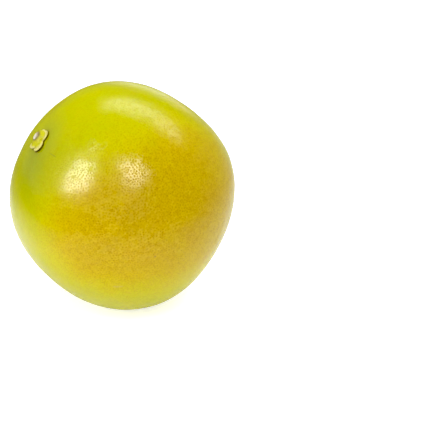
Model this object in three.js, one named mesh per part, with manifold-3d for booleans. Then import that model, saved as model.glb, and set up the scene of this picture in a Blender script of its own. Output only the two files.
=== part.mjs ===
// A whole pomelo lying on its side: the fruit, the five-lobed calyx that stays on at its stem end,
// and the corky stub where it was cut from its stalk. Millimetres, +Z up. The origin is the middle
// of the small flat spot that the fruit rests on, straight below the fruit's centre.
import * as THREE from "three";
import { mergeVertices } from "three/addons/utils/BufferGeometryUtils.js";
import Module from "manifold-3d";

// ---- driving dimensions ----
const BODY_RADIUS = 75; // half the fruit's width across its stem axis
const STEM_FLATTENING = 2.4; // how much shorter the fruit is towards its stalk
const BLOSSOM_FLATTENING = 3; // and towards the blossom end, opposite
const REST_SPOT_RADIUS = 14; // the flat spot that the fruit's own weight presses

// The stem axis points out of the stem end, as the fruit lies. Azimuth is measured from +X
// towards +Y, elevation from the horizontal, both in degrees.
const STEM_AZIMUTH = -157.5;
const STEM_ELEVATION = 42;

// Broad swells and flats of the rind, by the way each faces as the fruit lies. A swell falls to
// 1/e of its height at its spread, in degrees from its middle.
const SWELLS = [
  { azimuth: 5, elevation: 15, height: 2.0, spread: 26 },
  { azimuth: 29, elevation: 46, height: -1.8, spread: 24 },
  { azimuth: 118, elevation: 63, height: 1.5, spread: 24 },
  { azimuth: 166, elevation: 27, height: -0.2, spread: 22 },
  { azimuth: -178, elevation: -3, height: 0.5, spread: 24 },
  { azimuth: -157, elevation: -40, height: -1.8, spread: 24 },
  { azimuth: -74, elevation: -64, height: 2.6, spread: 28 },
  { azimuth: -36, elevation: -52, height: 1.5, spread: 20 },
  { azimuth: 88, elevation: 8, height: 1.4, spread: 30 },
  { azimuth: 55, elevation: -38, height: -1.6, spread: 26 },
  { azimuth: 128, elevation: -20, height: -1.0, spread: 24 },
];

// Relief round the poles, in the fruit's own frame, with the stem along +Z.
const STEM_BASIN = { depth: 1.3, radius: 12.5 }; // shallow basin that holds the calyx
const BLOSSOM_PIT = { depth: 1.1, radius: 3.6 }; // where the flower's style dropped off
const FURROWS = { count: 5, depth: 0.35, middle: 21, spread: 12 }; // run out from the calyx

const CALYX = {
  // How far each lobe is turned round the stem axis, in degrees, how far its tip is from the axis,
  // and how far out the notch after it lies, as a share of the tips beside that.
  lobes: [
    { turn: -28, tip: 8.2, notch: 0.82 },
    { turn: 70, tip: 6.9, notch: 0.7 },
    { turn: 125, tip: 7.4, notch: 0.7 },
    { turn: 184, tip: 9.1, notch: 0.66 },
    { turn: 264, tip: 11.3, notch: 0.55 },
  ],
  margin: 1, // thickness of a lobe near its edge
  crest: 3.8, // height of the ring round the stub, above the rind
  tipLift: 0.6, // how far the lobes' tips curl off the rind
};
// The cut stalk in the calyx's middle.
const STUB = {
  radius: 2.8,
  recess: 1.8, // depth of the recess it stands in
  rim: 0.4, // height of its cut face above the crest
  bevel: 0.4,
  lip: 0.7, // width of the hard ring round the soft middle
  hollow: 0.35, // how far the middle has shrunk below the ring
};
const GAP = 0.3; // clearance between neighbours

const FRUIT_SEGMENTS = 64;
const FRUIT_RINGS = 44;
const RING_CROWDING = 0.8; // 0 spaces the rings evenly, towards 1 crowds them at the poles
const CALYX_SEGMENTS = 120;
const STUB_SEGMENTS = 24;

// ---- directions and small functions ----
const UP = new THREE.Vector3(0, 0, 1);
const radians = THREE.MathUtils.degToRad;

function facing(azimuth, elevation) {
  const flat = Math.cos(radians(elevation));
  const x = Math.cos(radians(azimuth)) * flat;
  const y = Math.sin(radians(azimuth)) * flat;
  return new THREE.Vector3(x, y, Math.sin(radians(elevation)));
}

const stemAxis = facing(STEM_AZIMUTH, STEM_ELEVATION);
const lying = new THREE.Quaternion().setFromUnitVectors(UP, stemAxis); // fruit's frame to part's
const standing = lying.clone().invert();
const swells = SWELLS.map((swell) => ({
  ...swell,
  middle: facing(swell.azimuth, swell.elevation).applyQuaternion(standing),
}));

const bell = (x) => Math.exp(-x * x);

// ---- the rind's surface: its distance from the fruit's centre, by direction ----
function rindRadius(direction) {
  const along = direction.z;
  const fromStem = THREE.MathUtils.radToDeg(Math.acos(THREE.MathUtils.clamp(along, -1, 1)));
  const offAxis = BODY_RADIUS * Math.hypot(direction.x, direction.y);
  const round = Math.atan2(direction.y, direction.x);

  let radius = BODY_RADIUS;
  if (along > 0) {
    radius -= STEM_FLATTENING * along ** 4 + STEM_BASIN.depth * bell(offAxis / STEM_BASIN.radius);
  } else {
    radius -= BLOSSOM_FLATTENING * along ** 4 + BLOSSOM_PIT.depth * bell(offAxis / BLOSSOM_PIT.radius);
  }
  const furrow = 0.5 + 0.5 * Math.cos(FURROWS.count * round);
  radius -= FURROWS.depth * furrow ** 2 * bell((fromStem - FURROWS.middle) / FURROWS.spread);
  for (const swell of swells) {
    const away = THREE.MathUtils.radToDeg(direction.angleTo(swell.middle));
    radius += swell.height * bell(away / swell.spread);
  }
  return radius;
}

// A point above or below the rind, at an angle from the stem axis and round it.
function overRind(fromStem, round, height) {
  const off = Math.sin(fromStem);
  const direction = new THREE.Vector3(off * Math.cos(round), off * Math.sin(round), Math.cos(fromStem));
  return direction.clone().multiplyScalar(rindRadius(direction) + height);
}

// ---- geometry helpers ----
// One closed surface with shared vertices, from a lathe or a boolean.
function closed(geometry) {
  geometry.deleteAttribute("normal");
  geometry.deleteAttribute("uv");
  const merged = mergeVertices(geometry, 1e-4);
  const corners = merged.index.array;
  const kept = [];
  for (let i = 0; i < corners.length; i += 3) {
    const [a, b, c] = corners.slice(i, i + 3);
    const flat = a === b || b === c || c === a;
    if (!flat) {
      kept.push(a, b, c);
    }
  }
  merged.setIndex(kept);
  return merged;
}

// A lathe whose points are then moved: place(radial, height, round) gives each point's new place.
function shapedLathe(profile, segments, place) {
  const lathe = new THREE.LatheGeometry(profile, segments);
  lathe.rotateX(Math.PI / 2); // the lathe turns round Y, the fruit round Z
  const geometry = closed(lathe);
  const points = geometry.attributes.position;
  for (let i = 0; i < points.count; i++) {
    const [x, y, z] = [points.getX(i), points.getY(i), points.getZ(i)];
    points.setXYZ(i, ...place(Math.hypot(x, y), z, Math.atan2(y, x)).toArray());
  }
  return geometry;
}

function solid(wasm, geometry) {
  const mesh = new wasm.Mesh({
    numProp: 3,
    vertProperties: Float32Array.from(geometry.attributes.position.array),
    triVerts: Uint32Array.from(geometry.index.array),
  });
  return new wasm.Manifold(mesh);
}

function geometryOf(manifold) {
  const mesh = manifold.getMesh();
  const geometry = new THREE.BufferGeometry();
  geometry.setAttribute("position", new THREE.BufferAttribute(mesh.vertProperties, 3));
  geometry.setIndex(new THREE.BufferAttribute(mesh.triVerts, 1));
  geometry.computeVertexNormals();
  return geometry;
}

// ---- the fruit ----
// The centre stands so high that the cut below it leaves a flat spot of REST_SPOT_RADIUS.
const down = new THREE.Vector3(0, 0, -1).applyQuaternion(standing);
const centreHeight = Math.sqrt(rindRadius(down) ** 2 - REST_SPOT_RADIUS ** 2);

// Half a circle from the blossom end up to the stem end, with its points crowded at both ends.
function halfCircle() {
  const profile = [];
  for (let i = 0; i <= FRUIT_RINGS; i++) {
    const share = i / FRUIT_RINGS;
    const crowded = share - (RING_CROWDING * Math.sin(2 * Math.PI * share)) / (2 * Math.PI);
    const angle = Math.PI * crowded;
    const onAxis = i === 0 || i === FRUIT_RINGS;
    profile.push(new THREE.Vector2(onAxis ? 0 : Math.sin(angle), -Math.cos(angle)));
  }
  return profile;
}

function makeFruit(wasm) {
  const rind = shapedLathe(halfCircle(), FRUIT_SEGMENTS, (off, along, round) =>
    overRind(Math.atan2(off, along), round, 0),
  );
  rind.applyQuaternion(lying);
  const size = 4 * BODY_RADIUS;
  const below = new THREE.BoxGeometry(size, size, size);
  below.translate(0, 0, -centreHeight - size / 2);
  return geometryOf(solid(wasm, rind).subtract(solid(wasm, closed(below))));
}

// ---- the calyx ----
const LONGEST_TIP = Math.max(...CALYX.lobes.map((lobe) => lobe.tip));

// Distance from the stem axis to the calyx's margin: broad round lobes with narrow notches, the
// lobes a little unequal.
function marginRadius(round) {
  const past = (lobe) => THREE.MathUtils.euclideanModulo(round - radians(lobe.turn), 2 * Math.PI);
  const byTurn = [...CALYX.lobes].sort((a, b) => past(a) - past(b));
  const before = byTurn[0];
  const after = byTurn[byTurn.length - 1];
  const place = past(before) / (past(before) + 2 * Math.PI - past(after)); // 0 and 1 are tips
  const tip = place < 0.5 ? before.tip : after.tip;
  const notch = (before.notch * (before.tip + after.tip)) / 2;
  return THREE.MathUtils.lerp(notch, tip, Math.abs(Math.cos(Math.PI * place)) ** 0.6);
}

// The profile runs from the axis out along the underside, round the margin and back over the top,
// down into the recess for the stub. Its first number is the share of the way to the margin, and
// its second is the height above the rind.
function calyxProfile() {
  const wall = (STUB.radius + GAP) / LONGEST_TIP; // of the recess
  const { crest, margin } = CALYX;
  return [
    [0, GAP],
    [0.3, GAP],
    [0.6, GAP],
    [0.85, GAP],
    [0.97, GAP + 0.1 * margin],
    [1, GAP + 0.5 * margin],
    [0.97, GAP + 0.9 * margin],
    [0.88, GAP + 1.15 * margin],
    [0.76, GAP + 1.3 * margin],
    [0.62, GAP + 1.6 * margin],
    [0.48, GAP + 2.3 * margin],
    [wall + 0.08, crest - 0.3],
    [wall + 0.03, crest],
    [wall, crest - 0.2],
    [wall, crest - STUB.recess],
    [0, crest - STUB.recess],
  ].map(([share, height]) => new THREE.Vector2(share, height));
}

function makeCalyx() {
  return shapedLathe(calyxProfile(), CALYX_SEGMENTS, (share, height, round) => {
    const lobed = THREE.MathUtils.smoothstep(share, 0.3, 0.9);
    const reach = THREE.MathUtils.lerp(LONGEST_TIP, marginRadius(round), lobed);
    const off = share * reach;
    const lift = CALYX.tipLift * THREE.MathUtils.smoothstep(off, LONGEST_TIP / 2, LONGEST_TIP);
    return overRind(Math.asin(off / BODY_RADIUS), round, height + lift);
  });
}

// ---- the stub of the stalk ----
function makeStub() {
  const floor = CALYX.crest - STUB.recess + GAP;
  const top = CALYX.crest + STUB.rim;
  const profile = [
    [0, floor],
    [STUB.radius, floor],
    [STUB.radius, top - STUB.bevel],
    [STUB.radius - STUB.bevel, top],
    [STUB.radius - STUB.bevel - STUB.lip, top - STUB.hollow / 3],
    [STUB.radius / 5, top - STUB.hollow],
    [0, top - STUB.hollow],
  ].map(([off, height]) => new THREE.Vector2(off, height));
  return shapedLathe(profile, STUB_SEGMENTS, (off, height, round) =>
    overRind(Math.asin(off / BODY_RADIUS), round, height),
  );
}

// ---- assembly ----
const wasm = await Module();
wasm.setup();

function named(name, geometry, look) {
  const mesh = new THREE.Mesh(geometry, new THREE.MeshStandardMaterial({ metalness: 0, ...look }));
  mesh.name = name;
  return mesh;
}

const fruit = named("fruit", makeFruit(wasm), { color: 0xc9b60c, roughness: 0.4 });
const calyx = named("calyx", makeCalyx(), { color: 0xb9bd2a, roughness: 0.6 });
const stub = named("stem_stub", makeStub(), { color: 0xcfc4a4, roughness: 0.85 });

const stemEnd = new THREE.Group();
stemEnd.quaternion.copy(lying);
stemEnd.add(calyx, stub);

const pomelo = new THREE.Group();
pomelo.position.z = centreHeight;
pomelo.add(fruit, stemEnd);

export default pomelo;
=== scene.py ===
"""A whole pomelo lying on its side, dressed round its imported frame: the pitted rind, the lobed calyx
at its stem end and the corky stub of its stalk, on a pale floor in soft studio light."""

import math

import bpy
import numpy as np
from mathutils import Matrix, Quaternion, Vector
from mathutils.geometry import delaunay_2d_cdt


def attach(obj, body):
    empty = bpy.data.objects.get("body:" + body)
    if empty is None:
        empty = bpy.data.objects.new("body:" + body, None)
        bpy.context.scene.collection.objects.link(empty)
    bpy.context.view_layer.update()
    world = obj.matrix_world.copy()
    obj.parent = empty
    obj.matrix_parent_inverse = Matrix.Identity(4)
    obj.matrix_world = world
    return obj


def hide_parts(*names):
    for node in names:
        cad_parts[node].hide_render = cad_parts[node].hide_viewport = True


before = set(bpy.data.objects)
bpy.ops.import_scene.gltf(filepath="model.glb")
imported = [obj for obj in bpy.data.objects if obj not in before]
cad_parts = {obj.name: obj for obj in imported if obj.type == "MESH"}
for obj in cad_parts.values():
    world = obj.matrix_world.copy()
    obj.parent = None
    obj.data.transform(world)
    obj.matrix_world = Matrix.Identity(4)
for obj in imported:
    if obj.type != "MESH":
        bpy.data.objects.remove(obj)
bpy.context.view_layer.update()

MM = 0.001  # Blender's metres; every length below is in millimetres, every angle in degrees

# ---- the fruit's form, as the part's source has it ----
BODY_RADIUS = 75
STEM_FLATTENING = 2.4
BLOSSOM_FLATTENING = 3
REST_SPOT_RADIUS = 14
STEM_AZIMUTH = -157.5
STEM_ELEVATION = 42
STEM_BASIN_DEPTH = 1.3
STEM_BASIN_RADIUS = 12.5
BLOSSOM_PIT_DEPTH = 1.1
BLOSSOM_PIT_RADIUS = 3.6
FURROWS = 5
FURROW_DEPTH = 0.35
FURROW_MIDDLE = 21
FURROW_SPREAD = 12
SWELLS = [  # azimuth, elevation, height, spread
    (5, 15, 2.0, 26),
    (29, 46, -1.8, 24),
    (118, 63, 1.5, 24),
    (166, 27, -0.2, 22),
    (-178, -3, 0.5, 24),
    (-157, -40, -1.8, 24),
    (-74, -64, 2.6, 28),
    (-36, -52, 1.5, 20),
    (88, 8, 1.4, 30),
    (55, -38, -1.6, 26),
    (128, -20, -1.0, 24),
]
CALYX_TURNS = np.array([-28, 70, 125, 184, 264])  # the lobes, round the stem axis
CALYX_TIPS = np.array([8.2, 6.9, 7.4, 9.1, 11.3])
# The notch after each lobe, as a share of the tips beside it.
CALYX_NOTCHES = np.array([0.82, 0.7, 0.7, 0.66, 0.55])
CALYX_LOBE_POWER = 0.6  # under 1, the lobes are broad and the notches narrow
CALYX_MARGIN = 1
CALYX_CREST = 3.8
CALYX_TIP_LIFT = 0.6
STUB_RADIUS = 2.8
STUB_RECESS = 1.8
STUB_RIM = 0.4
STUB_BEVEL = 0.4
STUB_LIP = 0.7
STUB_HOLLOW = 0.35
GAP = 0.3

# ---- the rind's fine surface ----
PORES = 24000  # oil glands, about 1.8 mm apart
PORE_SHAKE = 0.4  # how far a gland first strays from its even place, as a share of that spacing
PORE_ROUNDS = 2  # how often the glands are then evened out and joined up anew
PORE_STEPS = 2  # and in how many steps each time
PORE_SPREAD = 2.2  # the higher, the more alike their sizes
PORE_SINK = (0.025, 0.065)  # depth of the dimple over a gland, least and most
PORE_RADIUS = (0.65, 0.95)
PORE_BUMP = 0.055  # depth that the material adds
PORE_NAMES = ("pore_a", "pore_b", "pore_c")
UNEVENNESS = [(0.035, 17, 18), (0.012, 7, 22)]  # usual height, wavelength and number of random waves
CALM = (3, 9)  # how far from the calyx's middle and the blossom scar's the relief begins and is full
GRAIN_BUMP = 0.03
SEED = 11

# ---- the fine surface of calyx and stub ----
CALYX_CREASE = 0.45  # depth of the creases between the lobes
CALYX_CREASE_WIDTH = 0.16  # as a share of the way between two lobes
CALYX_RELIEF = [(0.06, 2.6, 16), (0.03, 1.1, 24)]
CALYX_BUMP = 0.12
STUB_RELIEF = [(0.06, 1.7, 16), (0.04, 0.7, 24)]
STUB_BUMP = 0.2
CALYX_STEPS = 5  # points of the smooth profile from one knot to the next
CALYX_SEGMENTS = 200
STUB_STEPS = 8
STUB_SEGMENTS = 96

# ---- the rind's colours ----
# Patches that the sun turned: azimuth, elevation, spread and weight.
GOLD_PATCHES = [(-39, 12, 51, 1.41), (-99, 2, 37, 1.15), (120, -20, 45, 0.7)]
GOLD_HALFWAY = 0.87  # the sum of their weights where the rind is half turned
GOLD_STEEPNESS = 4
# Darker green by the stem end: partly the rind's greener colour, partly painted shade of the stem
# basin.
DEEP_GREEN_AND_SHADE_PATCHES = [(-148, 29, 16, 0.85), (-155, 45, 11, 0.5)]

RIPENING = [
    (0.0, (0.53, 0.55, 0.002)),
    (0.35, (0.62, 0.56, 0.0015)),
    (0.7, (0.63, 0.46, 0.004)),
    (1.0, (0.61, 0.4, 0.012)),
]
# The greener rind by the stem, darkened by painted shade.
DEEP_GREEN_AND_SHADE = (0.32, 0.37, 0.003, 1)
CLOUD_SIZE = 16  # of the patches where ripening runs ahead or lags
CLOUD_STRAY = 0.5  # how far apart the two are in ripeness
GRAIN_SIZE = 2.4
GRAIN_STRAY = 0.25
RIND_ROUGHNESS = (0.15, 0.25)
RIND_IOR = 1.5

PEBBLE_SIZE = 1.5  # of the duller specks, and of the brighter specks that are painted glints of the bumpy rind
PEBBLE_DULL = (0.36, 0.2, 0.001, 1)
PEBBLE_DULL_STRENGTH = 0.28
PEBBLE_GLINT = (0.84, 0.64, 0.05, 1)
PEBBLE_GLINT_STRENGTH = 0.24
PEBBLE_SHOWN = (0.3, 1.0)  # share of those strengths on green rind and on gold

# A gland's dimple and dot. An edge is where each starts to fade and where it ends, with the gland's
# middle at 0 and its radius at 1.
PORE_COLOUR = (0.38, 0.19, 0.001, 1)
DOT_EDGE = (0.3, 1.0)
DOT_STRENGTH = (0.18, 0.58)  # on green rind and on gold
DOT_TONE_SIZE = 2.6  # of the patches where the dots are faint
DOT_TONE_LEAST = 0.3
PIT_EDGE = (0.1, 0.95)
MATT_AND_PIT_SHADE_EDGE = (0.4, 0.95)
MATT_AND_PIT_SHADE_TINT = (0.06, 0.05, 0.03, 1)  # how much of the gloss is left there: the gland's duller middle, with painted shade in its pit

OLIVE_AND_SHADE = (0.36, 0.36, 0.008, 1)  # the rind nearest the calyx: greener, and darkened with painted shade round the raised calyx
OLIVE_AND_SHADE_REACH = 4.5
OLIVE_AND_SHADE_STRENGTH = 0.4
CORK_DIRT_AND_SHADE = (0.12, 0.08, 0.01, 1)  # cork and dirt along the calyx's edge, darkened further with painted shade under its margin
CRUST_SIZE = 1.2  # of the patches where it is thin
CRUST_LEAST = 0.5
COLLAR_REACH = (0.2, 1.2)  # where it starts to fade and where it ends
COLLAR_NOTCH = 0.12  # width of the notches, where it reaches twice as far, as a share between lobes
DIRT_AND_SHADE_TURN = -60  # the calyx's darker side, round the stem axis, where the painted shade and dirt are strongest
DIRT_AND_SHADE_EDGE = (-0.3, 0.5)  # cosines of the turns from there where the painted shade and dirt begin and are full
DIRT_AND_SHADE_LEAST = 0.25

SCUFF = (0.66, 0.5, 0.1, 1)
SCAR = (0.3, 0.17, 0.04, 1)
MARKS = [  # azimuth and elevation; turn from level; length; width; strength; colour
    ((-133, 38.5), -8, 9, 0.9, 0.6, (0.25, 0.26, 0.01, 1)),
    ((-89, -27), 5, 9, 2.2, 0.5, SCUFF),
    ((-70, -9), 30, 2.5, 1.6, 0.5, SCAR),
    ((41, 30), -20, 11, 1.6, 0.5, SCUFF),
    ((97, -12), 65, 7, 2.4, 0.6, SCUFF),
    ((139, 41), 10, 3, 2, 0.6, SCAR),
    ((172, -22), 40, 13, 1.2, 0.5, (0.35, 0.3, 0.02, 1)),
    ((22.5, -42), 0, 5.6, 5.2, 0.9, SCAR),
]
MARK_FRAY = 0.8  # how ragged a mark's edge is, as a share of its half width
MARK_FRAY_SIZE = 1.5
MARK_REACH = (20, 30)  # past these it fades and ends, so that none shows on the far side

# ---- the colours of calyx and stub ----
CALYX_COLOURS = [  # from the middle to the margin
    (0.3, (0.42, 0.36, 0.03)),
    (0.42, (0.62, 0.59, 0.008)),
    (0.7, (0.62, 0.6, 0.008)),
    (0.88, (0.8, 0.72, 0.24)),
]
CALYX_CLOUD_SIZE = 1.6
CALYX_CLOUD_STRAY = 0.16
CALYX_GRAIN_SIZE = 0.7
CALYX_SPECKS = (0.35, 0.32, 0.02, 1)
CALYX_SPECKS_STRENGTH = 0.25
CALYX_ROUGHNESS = (0.4, 0.6)
CALYX_SPECULAR = 0.3

CORK_COLOURS = [  # from the darker side to the whiter
    (0.3, (0.38, 0.3, 0.13)),
    (0.45, (0.52, 0.42, 0.28)),
    (0.6, (0.88, 0.84, 0.66)),
    (1.0, (0.85, 0.8, 0.6)),
]
CORK_PALE_TURN = 165  # the way its whiter side looks, round the stem axis
CORK_CLOUD_SIZE = 0.9
CORK_CLOUD_STRAY = 0.5
CORK_EDGE = (0.34, 0.28, 0.09, 1)
CORK_EDGE_START = 0.86  # as a share of the stub's radius
CORK_GRAIN_SIZE = 0.35
CORK_SPECKS = (0.3, 0.22, 0.14, 1)
CORK_SPECKS_STRENGTH = 0.4
CORK_ROUGHNESS = 0.8

# ---- camera, as the eye stands: up 25 degrees, with the fruit left of the middle ----
CAMERA_ELEVATION = 25
CAMERA_LENS = 100
CAMERA_DISTANCE = 821.9
CAMERA_ASIDE = 65.9
CAMERA_LOWERED = 17.2
BLUE_LEVEL = 0.027  # blue light that the picture's grade takes away

# ---- light: a dim room with soft panels round it, softboxes and a glowing floor ----
ROOM_RADIANCE = 0.17
PANELS = [  # azimuth, elevation, reach, radiance
    (84, 2, 17, 1.1),
    (180, 10, 60, 0.6),
    (10, 10, 60, 0.35),
    (0, 90, 60, 0.22),
    (-90, 10, 60, 0.8),
]
SOFTBOXES = [  # name; where it shows; width, height and distance; roll; shine and fill
    ("key_left", (-111.5, 32.2), 520, 560, 900, -20, 11.8, 7.0),
    ("key_left_flare", (-104.5, 46.5), 80, 240, 900, -40, 9, 0),
    ("key_right", (-78.3, 34.5), 390, 410, 900, 0, 8.9, 7.5),
    ("key_right_flare", (-85.5, 39.5), 110, 160, 900, 0, 10.5, 0),
    ("rear_top", (-52.5, 65.5), 1650, 440, 1200, 9, 3.4, 6.9),
]
FLOOR_HALF = 4000  # half its side
FLOOR_REACH = (130, 420)  # how far from the fruit its near part starts to fade and where it ends
FLOOR_WHITES = ((0.86, 0.86, 0.86, 1), (0.9, 0.9, 0.9, 1))
FLOOR_CLOUD_SIZE = 30  # of the patches of either white
FLOOR_DARK = (0.12, 0.12, 0.12, 1)  # the far part's colour, as it lights the fruit
FLOOR_ROUGHNESS = 0.7
FLOOR_GLOW = 0.15  # the near part's own light
FLOOR_SEEN = 0.5  # how much more the eye sees, near and far
FLOOR_MIRRORED = 0.42  # how bright its far part is as the rind mirrors it
FLOOR_DULL = 160  # azimuth of the side where the far part is dark to the rind too
FLOOR_DULL_EDGE = 200  # how far towards that side the change is complete


# ---- directions, the rind's surface and the calyx's outline ----
def facing(azimuth, elevation):
    """The unit vector at an azimuth from +X towards +Y and an elevation from the horizontal."""
    a, e = math.radians(azimuth), math.radians(elevation)
    return np.array([math.cos(a) * math.cos(e), math.sin(a) * math.cos(e), math.sin(e)])


STEM_AXIS = facing(STEM_AZIMUTH, STEM_ELEVATION)
LYING = np.array(Vector((0, 0, 1)).rotation_difference(Vector(STEM_AXIS)).to_matrix())


def bell(x):
    return np.exp(-np.square(x))


def smoothstep(x, low, high):
    t = np.clip((x - low) / (high - low), 0, 1)
    return t * t * (3 - 2 * t)


def from_range(limits, share):
    """The value that lies that share of the way from the first limit to the second."""
    return limits[0] + (limits[1] - limits[0]) * share


def angle_of(cosine):
    return np.degrees(np.arccos(np.clip(cosine, -1, 1)))


def unit(vectors):
    return vectors / np.linalg.norm(vectors, axis=-1, keepdims=True)


def from_axis(directions):
    """How far off the stem axis the rind is, and the turn round it, for unit vectors in the fruit's
    own frame."""
    off = BODY_RADIUS * np.hypot(directions[:, 0], directions[:, 1])
    return off, np.arctan2(directions[:, 1], directions[:, 0])


def rind_radius(directions):
    """The rind's distance from the fruit's centre, for unit vectors in the fruit's own frame."""
    along = directions[:, 2]
    off_axis, around = from_axis(directions)
    stem = STEM_FLATTENING * along**4 + STEM_BASIN_DEPTH * bell(off_axis / STEM_BASIN_RADIUS)
    blossom = BLOSSOM_FLATTENING * along**4 + BLOSSOM_PIT_DEPTH * bell(off_axis / BLOSSOM_PIT_RADIUS)
    radius = BODY_RADIUS - np.where(along > 0, stem, blossom)
    furrow = 0.5 + 0.5 * np.cos(FURROWS * around)
    radius -= FURROW_DEPTH * furrow**2 * bell((angle_of(along) - FURROW_MIDDLE) / FURROW_SPREAD)
    for azimuth, elevation, height, spread in SWELLS:
        away = angle_of(directions @ (facing(azimuth, elevation) @ LYING))
        radius += height * bell(away / spread)
    return radius


def over_rind(from_stem, around, height):
    """Points at a height over the rind, by their angle from the stem axis and round it, in radians."""
    off = np.sin(from_stem)
    directions = np.stack([off * np.cos(around), off * np.sin(around), np.cos(from_stem)], -1)
    directions = directions.reshape(-1, 3)
    return directions * (rind_radius(directions) + np.ravel(height))[:, None]


def centre_height():
    down = np.array([[0, 0, -1]]) @ LYING
    return math.sqrt(rind_radius(down)[0] ** 2 - REST_SPOT_RADIUS**2)


CENTRE = np.array([0, 0, centre_height()])


def as_it_lies(points, raised):
    """Points of the fruit's own frame, each raised off its centre, where the lying fruit has them."""
    return (points + unit(points) * raised[:, None]) @ LYING.T + CENTRE


def waves(points, layers, rng):
    """Smooth random heights at points, the sum of plane waves that run every way."""
    total = np.zeros(len(points))
    for height, wavelength, count in layers:
        ways = unit(rng.normal(size=(count, 3))) * (2 * math.pi / wavelength)
        phases = rng.uniform(0, 2 * math.pi, count)
        total += height * math.sqrt(2 / count) * np.sin(points @ ways.T + phases).sum(1)
    return total


def lobe_place(around):
    """The calyx's lobes before and after each angle, and how far it is from the notch between them,
    from -0.5 at the first lobe's middle to 0.5 at the second's."""
    past = (np.degrees(around)[:, None] - CALYX_TURNS) % 360
    place = past.min(1) / (past.min(1) + 360 - past.max(1))
    return past.argmin(1), past.argmax(1), place - 0.5


def margin_radius(around):
    """Distance from the stem axis to the calyx's margin."""
    before, after, place = lobe_place(around)
    tip = np.where(place < 0, CALYX_TIPS[before], CALYX_TIPS[after])
    notch = CALYX_NOTCHES[before] * (CALYX_TIPS[before] + CALYX_TIPS[after]) / 2
    return notch + (tip - notch) * np.abs(np.sin(math.pi * place)) ** CALYX_LOBE_POWER


# ---- mesh helpers ----
def piece(name, points, faces, node, material):
    """A smooth mesh piece in the row frame that stands for a CAD node."""
    mesh = bpy.data.meshes.new(name)
    mesh.from_pydata((np.asarray(points) * MM).tolist(), [], np.asarray(faces).tolist())
    mesh.shade_smooth()
    mesh.materials.append(material)
    mesh.validate()
    made = bpy.data.objects.new(name, mesh)
    bpy.context.scene.collection.objects.link(made)
    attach(made, "root")
    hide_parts(node)
    return made


def attribute(made, name, domain, values):
    """Stores a number or a vector for each point or face, for the material to read."""
    values = np.asarray(values, np.float32)
    kind, field = ("FLOAT_VECTOR", "vector") if values.ndim == 2 else ("FLOAT", "value")
    made.data.attributes.new(name, kind, domain).data.foreach_set(field, values.ravel())


def all_sides(triangles):
    """The ends of every triangle's three sides."""
    return np.concatenate([triangles[:, [0, 1]], triangles[:, [1, 2]], triangles[:, [2, 0]]])


# ---- the rind ----
def sunflower(count):
    """Unit vectors spread evenly over the sphere along a spiral."""
    k = np.arange(count) + 0.5
    height = 1 - 2 * k / count
    turn = math.pi * (3 - math.sqrt(5)) * k
    off = np.sqrt(1 - height**2)
    return np.stack([off * np.cos(turn), off * np.sin(turn), height], -1)


def joined(points):
    """Delaunay triangles between unit vectors, facing out. The last one is the pole from which the
    others are projected on a plane, and a fan round it closes the sphere."""
    pole = points[-1]
    across = unit(np.cross(pole, [1, 0, 0]))
    flat = points[:-1] @ np.stack([across, np.cross(pole, across)], 1)
    flat /= (1 - points[:-1] @ pole)[:, None]
    triangles = np.array(delaunay_2d_cdt([Vector(v) for v in flat.tolist()], [], [], 0, 0, False)[2])
    sides = {(a, b) for t in triangles.tolist() for a, b in zip(t, t[1:] + t[:1])}
    fan = [(b, a, len(points) - 1) for a, b in sides if (b, a) not in sides]
    triangles = np.concatenate([triangles, sorted(fan)])
    a, b, c = (points[triangles[:, i]] for i in range(3))
    inward = np.einsum("ij,ij->i", np.cross(b - a, c - a), a) < 0
    triangles[inward] = triangles[inward][:, ::-1]
    return triangles


def scattered(count, rng):
    """Unit vectors at random but evenly apart, and the triangles between them."""
    spacing = math.sqrt(4 * math.pi / count / math.sin(math.pi / 3))
    even = sunflower(count)
    points = unit(even + rng.normal(size=even.shape) * PORE_SHAKE * spacing)
    triangles = joined(points)
    for _ in range(PORE_ROUNDS):
        ends = all_sides(triangles)
        neighbours = np.bincount(ends[:, 0], minlength=count)[:, None]
        for _ in range(PORE_STEPS):
            sums = [np.bincount(ends[:, 0], points[ends[:, 1], axis], count) for axis in range(3)]
            points = unit(points + np.stack(sums, 1) / neighbours)
        triangles = joined(points)
    return points, triangles


def split_in_four(triangles, count):
    """Each triangle cut at its edges' middles: (edges, their ends by number; triangles)."""
    edges, place = np.unique(np.sort(all_sides(triangles), 1), axis=0, return_inverse=True)
    ab, bc, ca = np.split(place.ravel() + count, 3)
    a, b, c = triangles.T
    corners = [(a, ab, ca), (b, bc, ab), (c, ca, bc), (ab, bc, ca)]
    return edges, np.concatenate([np.stack(corner, -1) for corner in corners])


def patchy(directions, patches):
    """The patches' weights at unit vectors, as the fruit lies, each falling off from its middle."""
    total = np.zeros(len(directions))
    for azimuth, elevation, spread, weight in patches:
        total += weight * bell(angle_of(directions @ facing(azimuth, elevation)) / spread)
    return total


def ripeness(directions):
    """0 where the rind stays green and 1 where it has turned gold."""
    past_halfway = patchy(directions, GOLD_PATCHES) - GOLD_HALFWAY
    return 1 / (1 + np.exp(-GOLD_STEEPNESS * past_halfway))


def beside_calyx(own):
    """How much cork, dirt and painted shade lie along the calyx's margin, and how much olive rind with
    painted shade round it, from 0 to 1, for unit vectors in the fruit's own frame."""
    off_axis, around = from_axis(own)
    from_margin = off_axis - margin_radius(around)
    by_stem = own[:, 2] > 0
    reach = 1 + bell(lobe_place(around)[2] / COLLAR_NOTCH)  # painted shade and dirt reach further in the notches
    darker_side = smoothstep(np.cos(around - math.radians(DIRT_AND_SHADE_TURN)), *DIRT_AND_SHADE_EDGE)
    dirt_and_shade = from_range((DIRT_AND_SHADE_LEAST, 1), darker_side)
    cork_dirt_and_shade = by_stem * dirt_and_shade * (1 - smoothstep(from_margin / reach, *COLLAR_REACH))
    return cork_dirt_and_shade, by_stem * (1 - smoothstep(from_margin, 0, OLIVE_AND_SHADE_REACH))


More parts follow.
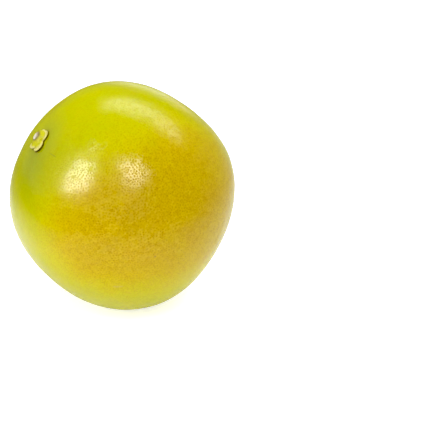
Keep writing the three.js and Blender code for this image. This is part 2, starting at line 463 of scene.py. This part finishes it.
def make_rind():
    rng = np.random.default_rng(SEED)
    pores, triangles = scattered(PORES, rng)
    edges, faces = split_in_four(triangles, PORES)
    directions = np.concatenate([pores, unit(pores[edges[:, 0]] + pores[edges[:, 1]])])

    own = directions @ LYING  # in the fruit's own frame, where the stem axis is +Z
    calm = smoothstep(angle_of(np.abs(own[:, 2])), *CALM)
    radius = rind_radius(own)
    radius += calm * waves(directions * BODY_RADIUS, UNEVENNESS, rng)
    size = rng.beta(PORE_SPREAD, PORE_SPREAD, PORES)
    radius[:PORES] -= from_range(PORE_SINK, size) * calm[:PORES]
    points = CENTRE + directions * radius[:, None]
    points[:, 2] = np.maximum(points[:, 2], 0)  # pressed flat where it rests

    rind = piece("rind", points, faces, "fruit", rind_material())
    corners = np.tile(triangles, (4, 1))  # each face's three nearest glands
    for name, corner in zip(PORE_NAMES, corners.T):
        attribute(rind, name, "FACE", points[corner] * MM)
    attribute(rind, "pore_radii", "FACE", from_range(PORE_RADIUS, size)[corners] * MM)
    attribute(rind, "ripeness", "POINT", ripeness(directions))
    attribute(rind, "deep_green_and_shade", "POINT", np.minimum(patchy(directions, DEEP_GREEN_AND_SHADE_PATCHES), 1))
    cork_dirt_and_shade, olive_and_shade = beside_calyx(own)
    attribute(rind, "cork_dirt_and_shade", "POINT", cork_dirt_and_shade)
    attribute(rind, "olive_and_shade", "POINT", olive_and_shade)


# ---- the calyx and the stub ----
def smooth_profile(knots, steps, widest):
    """A Catmull-Rom curve through the knots, with so many steps between each two. It starts and ends
    on the axis and goes out no further than widest."""
    knots = np.asarray(knots, float)
    padded = np.concatenate([knots[:1], knots, knots[-1:]])
    out = []
    for i in range(len(knots) - 1):
        p0, p1, p2, p3 = padded[i : i + 4]
        for t in np.arange(steps) / steps:
            out.append(
                0.5 * (2 * p1 + (p2 - p0) * t + (2 * p0 - 5 * p1 + 4 * p2 - p3) * t**2
                       + (3 * p1 - p0 - 3 * p2 + p3) * t**3)
            )
    out.append(knots[-1])
    profile = np.array(out)
    profile[:, 0] = np.clip(profile[:, 0], 0, widest)
    profile[0, 0] = profile[-1, 0] = 0
    return profile


def lathe_faces(rings, segments):
    """Faces of a lathe whose first and last rings are single points."""
    faces = []
    for j in range(segments):
        k = (j + 1) % segments
        faces.append((0, 1 + k, 1 + j))
        for i in range(rings - 3):
            a, b = 1 + i * segments, 1 + (i + 1) * segments
            faces.append((a + j, a + k, b + k))
            faces.append((a + j, b + k, b + j))
        last = 1 + (rings - 3) * segments
        faces.append((last + j, last + k, last + segments))
    return faces


def lathe_grid(profile, segments):
    """The profile's two numbers and the angle round, for each point of such a lathe."""
    around = np.arange(segments) * 2 * math.pi / segments
    inner = profile[1:-1]
    off = np.concatenate([[profile[0, 0]], np.repeat(inner[:, 0], segments), [profile[-1, 0]]])
    height = np.concatenate([[profile[0, 1]], np.repeat(inner[:, 1], segments), [profile[-1, 1]]])
    turn = np.concatenate([[0], np.tile(around, len(inner)), [0]])
    return off, height, turn


def calyx_knots(longest):
    """The calyx's profile, from the axis out along its underside, round the margin and back over the
    top, down into the recess for the stub: share of the way to the margin, height above the rind."""
    wall = (STUB_RADIUS + GAP) / longest  # of the recess
    margin, crest = CALYX_MARGIN, CALYX_CREST
    return [
        (0, GAP),
        (0.3, GAP),
        (0.6, GAP),
        (0.85, GAP),
        (0.97, GAP + 0.1 * margin),
        (1, GAP + 0.5 * margin),
        (0.97, GAP + 0.9 * margin),
        (0.88, GAP + 1.15 * margin),
        (0.76, GAP + 1.3 * margin),
        (0.62, GAP + 1.6 * margin),
        (0.48, GAP + 2.3 * margin),
        (wall + 0.08, crest - 0.3),
        (wall + 0.03, crest),
        (wall, crest - 0.2),
        (wall, crest - STUB_RECESS),
        (0, crest - STUB_RECESS),
    ]


def make_calyx():
    longest = max(CALYX_TIPS)
    profile = smooth_profile(calyx_knots(longest), CALYX_STEPS, 1)
    share, height, around = lathe_grid(profile, CALYX_SEGMENTS)
    lobed = smoothstep(share, 0.3, 0.9)  # its middle stays round
    off = share * from_range((longest, margin_radius(around)), lobed)
    lift = CALYX_TIP_LIFT * smoothstep(off, longest / 2, longest)
    points = over_rind(np.arcsin(off / BODY_RADIUS), around, height + lift)

    relief = waves(points, CALYX_RELIEF, np.random.default_rng(SEED + 1))
    crease = bell(lobe_place(around)[2] / CALYX_CREASE_WIDTH) * smoothstep(share, 0.4, 0.6)
    on_top = smoothstep(height, GAP + 0.4 * CALYX_MARGIN, GAP + CALYX_MARGIN)
    points = as_it_lies(points, (relief - CALYX_CREASE * crease) * on_top)
    faces = lathe_faces(len(profile), CALYX_SEGMENTS)
    calyx = piece("calyx_star", points, faces, "calyx", calyx_material())
    attribute(calyx, "share", "POINT", share)


def stub_knots(floor):
    """The stub's profile from the recess's floor up round its cut face: distance off the axis, height
    above the rind."""
    top = CALYX_CREST + STUB_RIM
    return [
        (0, floor),
        (STUB_RADIUS, floor),
        (STUB_RADIUS, top - STUB_BEVEL),
        (STUB_RADIUS - STUB_BEVEL, top),
        (STUB_RADIUS - STUB_BEVEL - STUB_LIP, top - STUB_HOLLOW / 3),
        (STUB_RADIUS / 5, top - STUB_HOLLOW),
        (0, top - STUB_HOLLOW),
    ]


def make_stub():
    floor = CALYX_CREST - STUB_RECESS + GAP
    profile = smooth_profile(stub_knots(floor), STUB_STEPS, STUB_RADIUS)
    off, height, around = lathe_grid(profile, STUB_SEGMENTS)
    points = over_rind(np.arcsin(off / BODY_RADIUS), around, height)

    relief = waves(points, STUB_RELIEF, np.random.default_rng(SEED + 2))
    in_sight = smoothstep(height, floor + 0.6, floor + 1.2)
    points = as_it_lies(points, relief * in_sight)
    faces = lathe_faces(len(profile), STUB_SEGMENTS)
    stub = piece("cut_stalk", points, faces, "stem_stub", cork_material())
    outward = off / STUB_RADIUS
    attribute(stub, "off_axis", "POINT", outward)
    attribute(stub, "pale_side", "POINT", outward * np.cos(around - math.radians(CORK_PALE_TURN)))


# ---- materials ----
class Look:
    """The nodes of one material or world, with a short call for each kind that is used here."""

    def __init__(self, owner, shader="Principled BSDF"):
        owner.use_nodes = True
        self.owner = owner
        self.tree = owner.node_tree
        self.shader = self.tree.nodes[shader]

    def put(self, socket, value):
        if isinstance(value, bpy.types.NodeSocket):
            self.tree.links.new(value, socket)
        else:
            socket.default_value = value

    def set(self, **values):
        """Puts values on the shader's sockets, with _ for a space in their names."""
        for name, value in values.items():
            self.put(self.shader.inputs[name.replace("_", " ")], value)

    def node(self, kind, *inputs, **settings):
        made = self.tree.nodes.new(kind)
        for name, value in settings.items():
            setattr(made, name, value)
        for socket, value in zip(made.inputs, inputs):
            self.put(socket, value)
        return made

    def place(self):
        return self.node("ShaderNodeTexCoord").outputs["Object"]

    def read(self, name, vector=False):
        """An attribute of the mesh."""
        made = self.node("ShaderNodeAttribute", attribute_name=name)
        return made.outputs["Vector" if vector else "Fac"]

    def maths(self, operation, *inputs):
        return self.node("ShaderNodeMath", *inputs, operation=operation).outputs[0]

    def times(self, value, by):
        return self.maths("MULTIPLY", value, by)

    def times_plus(self, value, by, plus):
        return self.maths("MULTIPLY_ADD", value, by, plus)

    def from_range(self, limits, share):
        """The value that lies that share of the way from the first limit to the second."""
        return self.times_plus(share, limits[1] - limits[0], limits[0])

    def strayed(self, value, noise, reach):
        """value moved up or down by noise, at most by half of reach."""
        return self.maths("ADD", value, self.from_range((-reach / 2, reach / 2), noise))

    def measured(self, operation, *vectors):
        """A number from vectors, such as their distance."""
        return self.node("ShaderNodeVectorMath", *vectors, operation=operation).outputs["Value"]

    def between(self, value, low, high, to_low=0.0, to_high=1.0):
        """value eased from low..high to to_low..to_high."""
        limits = (low, high, to_low, to_high)
        made = self.node("ShaderNodeMapRange", value, *limits, interpolation_type="SMOOTHSTEP")
        return made.outputs[0]

    def noise(self, size, detail=3.0):
        """Cloudy noise from 0 to 1 whose patches are about size millimetres across."""
        made = self.node("ShaderNodeTexNoise")
        self.put(made.inputs["Vector"], self.place())
        self.put(made.inputs["Scale"], 1 / (size * MM))
        self.put(made.inputs["Detail"], detail)
        return made.outputs["Fac"]

    def mark(self, at, turn, length, width):
        """A soft-edged oval on the rind, 1 in its middle, turned that many degrees from level."""
        normal = facing(*at)
        spot = CENTRE + normal * rind_radius((normal @ LYING)[None])[0]
        level = unit(np.cross([0, 0, 1], normal))
        steep = np.cross(normal, level)
        a = math.radians(turn)
        along = (math.cos(a) * level + math.sin(a) * steep) / (length / 2 * MM)
        across = (math.cos(a) * steep - math.sin(a) * level) / (width / 2 * MM)
        apart = self.node("ShaderNodeVectorMath", self.place(), spot * MM, operation="SUBTRACT")
        offset = apart.outputs[0]
        uv = [self.measured("DOT_PRODUCT", offset, way) for way in (along, across)]
        off = self.measured("LENGTH", self.node("ShaderNodeCombineXYZ", *uv).outputs[0])
        frayed = self.strayed(off, self.noise(MARK_FRAY_SIZE), MARK_FRAY)
        away = self.measured("LENGTH", offset)
        here = self.between(away, MARK_REACH[0] * MM, MARK_REACH[1] * MM, 1.0, 0.0)
        return self.times(here, self.between(frayed, 0.5, 1.0, 1.0, 0.0))

    def mix(self, amount, a, b):
        made = self.node("ShaderNodeMix", data_type="RGBA")
        self.put(made.inputs[0], amount)
        self.put(made.inputs[6], a)
        self.put(made.inputs[7], b)
        return made.outputs[2]

    def ramp(self, amount, stops):
        made = self.node("ShaderNodeValToRGB", amount)
        elements = made.color_ramp.elements
        while len(elements) < len(stops):
            elements.new(0.5)
        for element, (position, colour) in zip(elements, stops):
            element.position = position
            element.color = (*colour, 1)
        return made.outputs[0]

    def bump(self, height):
        """Raises the surface by a height in millimetres."""
        made = self.node("ShaderNodeBump")
        self.put(made.inputs["Distance"], MM)
        self.put(made.inputs["Height"], height)
        self.put(self.shader.inputs["Normal"], made.outputs[0])


def to_nearest_pore(look):
    """How far a point of the rind is from a gland's middle, with 1 at that gland's radius."""
    place = look.place()
    radii = look.node("ShaderNodeSeparateXYZ", look.read("pore_radii", True)).outputs
    shares = []
    for name, radius in zip(PORE_NAMES, radii):
        away = look.measured("DISTANCE", place, look.read(name, True))
        shares.append(look.maths("DIVIDE", away, radius))
    return look.maths("MINIMUM", look.maths("MINIMUM", shares[0], shares[1]), shares[2])


def rind_material():
    look = Look(bpy.data.materials.new("rind"))
    ripe = look.read("ripeness")
    nearest = to_nearest_pore(look)
    grain = look.noise(GRAIN_SIZE, detail=2.0)

    gold = look.strayed(ripe, look.noise(CLOUD_SIZE), CLOUD_STRAY)
    gold = look.strayed(gold, grain, GRAIN_STRAY)
    # the deep green by the stem carries painted shade
    skin = look.mix(look.read("deep_green_and_shade"), look.ramp(gold, RIPENING), DEEP_GREEN_AND_SHADE)

    pebble = look.noise(PEBBLE_SIZE, detail=1.0)
    shown = look.from_range(PEBBLE_SHOWN, ripe)
    dull = look.between(pebble, 0.3, 0.5, PEBBLE_DULL_STRENGTH, 0.0)
    skin = look.mix(look.times(dull, shown), skin, PEBBLE_DULL)
    # brighter specks: painted glints
    glint = look.between(pebble, 0.5, 0.7, 0.0, PEBBLE_GLINT_STRENGTH)
    skin = look.mix(look.times(glint, shown), skin, PEBBLE_GLINT)

    dot = look.between(nearest, *DOT_EDGE, 1.0, 0.0)
    tone = look.between(look.noise(DOT_TONE_SIZE, detail=1.0), 0.35, 0.6, DOT_TONE_LEAST, 1.0)
    dotted = look.times(look.times(dot, tone), look.from_range(DOT_STRENGTH, ripe))
    skin = look.mix(dotted, skin, PORE_COLOUR)

    for at, turn, length, width, strength, colour in MARKS:
        skin = look.mix(look.times(look.mark(at, turn, length, width), strength), skin, colour)
    # olive rind with painted shade round the calyx
    skin = look.mix(look.times(look.read("olive_and_shade"), OLIVE_AND_SHADE_STRENGTH), skin, OLIVE_AND_SHADE)
    crusted = look.between(look.noise(CRUST_SIZE), 0.25, 0.5, CRUST_LEAST, 1.0)
    # cork, dirt and painted shade along the calyx's margin
    skin = look.mix(look.times(look.read("cork_dirt_and_shade"), crusted), skin, CORK_DIRT_AND_SHADE)

    pit = look.between(nearest, *PIT_EDGE, 1.0, 0.0)
    look.bump(look.times_plus(grain, GRAIN_BUMP, look.times(pit, -PORE_BUMP)))
    # gloss dimmed in each gland: its duller middle and painted shade in the pit
    matt_and_pit_shade = look.between(nearest, *MATT_AND_PIT_SHADE_EDGE, 1.0, 0.0)
    look.set(Specular_Tint=look.mix(matt_and_pit_shade, (1, 1, 1, 1), MATT_AND_PIT_SHADE_TINT), IOR=RIND_IOR)
    look.set(Base_Color=skin, Roughness=look.from_range(RIND_ROUGHNESS, grain))
    return look.owner


def calyx_material():
    look = Look(bpy.data.materials.new("calyx"))
    place = look.strayed(look.read("share"), look.noise(CALYX_CLOUD_SIZE), CALYX_CLOUD_STRAY)
    skin = look.ramp(place, CALYX_COLOURS)
    fine = look.noise(CALYX_GRAIN_SIZE)
    skin = look.mix(look.between(fine, 0.35, 0.7, 0.0, CALYX_SPECKS_STRENGTH), skin, CALYX_SPECKS)
    look.bump(look.times(fine, CALYX_BUMP))
    roughness = look.from_range(CALYX_ROUGHNESS, fine)
    look.set(Base_Color=skin, Roughness=roughness, Specular_IOR_Level=CALYX_SPECULAR)
    return look.owner


def cork_material():
    look = Look(bpy.data.materials.new("cork"))
    pale = look.strayed(look.read("pale_side"), look.noise(CORK_CLOUD_SIZE), CORK_CLOUD_STRAY)
    skin = look.ramp(look.between(pale, -1.0, 1.0), CORK_COLOURS)
    skin = look.mix(look.between(look.read("off_axis"), CORK_EDGE_START, 1.0), skin, CORK_EDGE)
    fine = look.noise(CORK_GRAIN_SIZE)
    skin = look.mix(look.between(fine, 0.5, 0.75, 0.0, CORK_SPECKS_STRENGTH), skin, CORK_SPECKS)
    look.bump(look.times(fine, STUB_BUMP))
    look.set(Base_Color=skin, Roughness=CORK_ROUGHNESS)
    return look.owner


# ---- camera, floor and light ----
def aim(thing, location, towards, roll=0):
    thing.location = Vector(location) * MM
    way = (Vector(towards) - Vector(location)).to_track_quat("-Z", "Y")
    turned = way @ Quaternion((0, 0, 1), math.radians(roll))
    thing.rotation_euler = turned.to_euler()
    bpy.context.scene.collection.objects.link(thing)


def camera_axes():
    """The camera's right, up and backward."""
    e = math.radians(CAMERA_ELEVATION)
    right = np.array([1, 0, 0])
    up = np.array([0, math.sin(e), math.cos(e)])
    back = np.array([0, -math.cos(e), math.sin(e)])
    return right, up, back


def camera_place():
    right, up, back = camera_axes()
    return CENTRE + CAMERA_ASIDE * right - CAMERA_LOWERED * up + CAMERA_DISTANCE * back


def make_camera():
    data = bpy.data.cameras.new("camera")
    data.lens = CAMERA_LENS
    camera = bpy.data.objects.new("camera", data)
    place = camera_place()
    aim(camera, place, place - camera_axes()[2])
    bpy.context.scene.camera = camera


def softbox(name, shows_at, width, height, distance, roll, shine, fill):
    """An area light placed so that its reflection shows at that azimuth and elevation of the rind.
    shine is its radiance in reflections and fill its radiance as it lights matt surfaces."""
    normal = facing(*shows_at)
    spot = CENTRE + normal * BODY_RADIUS
    to_eye = unit(camera_place() - spot)
    away = 2 * normal.dot(to_eye) * normal - to_eye
    for kind, radiance in (("shine", shine), ("fill", fill)):
        if not radiance:
            continue
        data = bpy.data.lights.new(f"{name}_{kind}", "AREA")
        data.shape = "ELLIPSE"
        data.size, data.size_y = width * MM, height * MM
        area = (math.pi / 4) * data.size * data.size_y
        data.energy = radiance * math.pi * area
        light = bpy.data.objects.new(data.name, data)
        light.visible_camera = False
        light.visible_glossy = kind == "shine"
        light.visible_diffuse = kind == "fill"
        aim(light, spot + away * distance, spot, roll)


def floor_material():
    """White to the horizon for the eye. Only the near part lights the fruit, and the far part shows in
    the rind's gloss, but not towards FLOOR_DULL."""
    look = Look(bpy.data.materials.new("floor"))
    path = look.node("ShaderNodeLightPath").outputs
    seen = path["Is Camera Ray"]
    away = look.measured("LENGTH", look.place())
    near = look.between(away, FLOOR_REACH[0] * MM, FLOOR_REACH[1] * MM, 1.0, 0.0)
    lit = look.maths("MAXIMUM", near, seen)
    white = look.mix(look.noise(FLOOR_CLOUD_SIZE, detail=2.0), *FLOOR_WHITES)
    glow = look.times_plus(seen, FLOOR_SEEN, look.times(near, FLOOR_GLOW))
    to_dull = look.measured("DOT_PRODUCT", look.place(), facing(FLOOR_DULL, 0))
    mirrored = look.between(to_dull, 0, FLOOR_DULL_EDGE * MM, FLOOR_MIRRORED, 0.0)
    far = look.times(look.maths("SUBTRACT", 1.0, near), mirrored)
    glow = look.times_plus(path["Is Glossy Ray"], far, glow)
    look.set(Base_Color=look.mix(lit, FLOOR_DARK, white), Roughness=FLOOR_ROUGHNESS)
    look.set(Emission_Color=(1, 1, 1, 1), Emission_Strength=glow)
    return look.owner


def make_floor():
    half = FLOOR_HALF * MM
    mesh = bpy.data.meshes.new("floor")
    corners = [(-half, -half, 0), (half, -half, 0), (half, half, 0), (-half, half, 0)]
    mesh.from_pydata(corners, [], [(0, 1, 2, 3)])
    mesh.materials.append(floor_material())
    floor = bpy.data.objects.new("floor", mesh)
    bpy.context.scene.collection.objects.link(floor)


def make_surround():
    """A dim room with soft bright panels round the fruit; the eye itself sees white all round."""
    world = bpy.data.worlds.new("surround")
    bpy.context.scene.world = world
    look = Look(world, "Background")
    way = look.node("ShaderNodeTexCoord").outputs["Generated"]
    light = ROOM_RADIANCE
    for azimuth, elevation, reach, radiance in PANELS:
        toward = look.measured("DOT_PRODUCT", way, facing(azimuth, elevation))
        edge = math.cos(math.radians(reach))
        light = look.maths("ADD", look.between(toward, edge, 1.0, 0.0, radiance), light)
    seen = look.node("ShaderNodeLightPath").outputs["Is Camera Ray"]
    look.set(Color=(1, 1, 1, 1), Strength=look.maths("MAXIMUM", light, seen))


def grade_picture():
    """Deepens the yellows, as a print grade does."""
    view = bpy.context.scene.view_settings
    view.view_transform = "Standard"
    view.use_curve_mapping = True
    view.curve_mapping.black_level = (0, 0, BLUE_LEVEL)
    view.curve_mapping.update()


grade_picture()
make_camera()
make_surround()
make_floor()
for box in SOFTBOXES:
    softbox(*box)

make_rind()
make_calyx()
make_stub()
